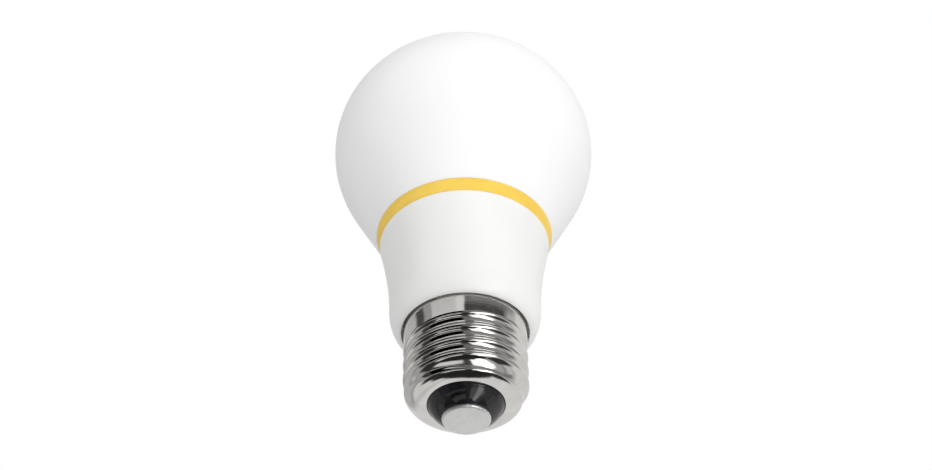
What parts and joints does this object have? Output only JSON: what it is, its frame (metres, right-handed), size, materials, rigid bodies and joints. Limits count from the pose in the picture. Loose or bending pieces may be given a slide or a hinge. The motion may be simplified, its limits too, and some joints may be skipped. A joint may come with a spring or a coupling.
{
  "type": "smart light bulb",
  "caption": "Round white LED bulb with an amber trim ring and a nickel screw cap, holding its driver and a wireless module inside.",
  "frame": {"origin": "centre of the flat face of the centre contact, at the bottom of the bulb", "axes": "+Z along the bulb's axis from the contact to the top of the globe; +X and +Y across it, with the driver board parallel to the XZ plane"},
  "size_m": [0.06, 0.06, 0.104],
  "materials": {
    "opal_diffuser": "opal white polycarbonate, satin outside",
    "amber_trim": "moulded amber-yellow trim, semi-gloss",
    "white_housing": "moulded white plastic, fine satin gloss",
    "silicone": "translucent cured silicone",
    "nickel_shell": "bright nickel plate on rolled brass sheet",
    "black_insulator": "glossy black vitrite glass",
    "tinned_contact": "satin tinned button",
    "aluminium": "drawn aluminium, satin",
    "thermal_pad": "matt grey-blue thermal pad",
    "white_board": "white solder mask on aluminium",
    "led_white": "white frame with yellow phosphor",
    "led_colour": "white frame with clear resin",
    "zinc_steel": "zinc-plated steel",
    "ivory_nylon": "ivory moulded nylon",
    "natural_nylon": "natural moulded nylon",
    "green_board": "green solder mask",
    "black_nylon": "black moulded nylon",
    "black_sleeve": "shrink sleeve on an aluminium can",
    "brown_sleeve": "shrink sleeve on an aluminium can",
    "ferrite": "sintered ferrite",
    "bobbin_nylon": "dark phenolic moulding",
    "yellow_tape": "yellow polyester tape over copper wire",
    "choke": "varnished copper wire on a ferrite drum",
    "blue_epoxy": "blue epoxy dip",
    "resistor_sleeve": "grey-green cement coat",
    "black_epoxy": "moulded epoxy",
    "film_case": "yellow-brown film capacitor case",
    "blue_board": "blue solder mask",
    "tinned_steel": "tinned steel can",
    "antenna_ceramic": "pale ceramic",
    "red_insulation": "red wire insulation",
    "blue_insulation": "blue wire insulation"
  },
  "bodies": {
    "root": {"diffuser_globe": "opal_diffuser", "accent_ring": "amber_trim", "housing_sleeve": "white_housing", "screw_shell": "nickel_shell", "insulator": "black_insulator", "centre_contact": "tinned_contact", "board_screw_1": "zinc_steel", "board_screw_2": "zinc_steel", "bridge_rectifier": "black_epoxy", "chip_antenna": "antenna_ceramic", "colour_led_1": "led_colour", "colour_led_2": "led_colour", "colour_led_3": "led_colour", "colour_led_4": "led_colour", "driver_board": "green_board", "driver_ic": "black_epoxy", "driver_liner": "natural_nylon", "film_capacitor": "film_case", "filter_choke": "choke", "flyback_diode": "black_epoxy", "fuse_resistor": "resistor_sleeve", "globe_seal": "silicone", "heat_sink_cup": "aluminium", "input_capacitor": "black_sleeve", "led_board": "white_board", "led_socket": "ivory_nylon", "live_wire": "red_insulation", "neutral_wire": "blue_insulation", "output_capacitor": "brown_sleeve", "pin_header": "black_nylon", "radio_board": "blue_board", "radio_chip": "black_epoxy", "radio_header": "black_nylon", "radio_shield": "tinned_steel", "thermal_pad": "thermal_pad", "transformer_bobbin": "bobbin_nylon", "transformer_core": "ferrite", "transformer_winding": "yellow_tape", "varistor": "blue_epoxy", "white_led_01": "led_white", "white_led_02": "led_white", "white_led_03": "led_white", "white_led_04": "led_white", "white_led_05": "led_white", "white_led_06": "led_white", "white_led_07": "led_white", "white_led_08": "led_white", "white_led_09": "led_white", "white_led_10": "led_white", "white_led_11": "led_white", "white_led_12": "led_white"}
  },
  "joints": []
}
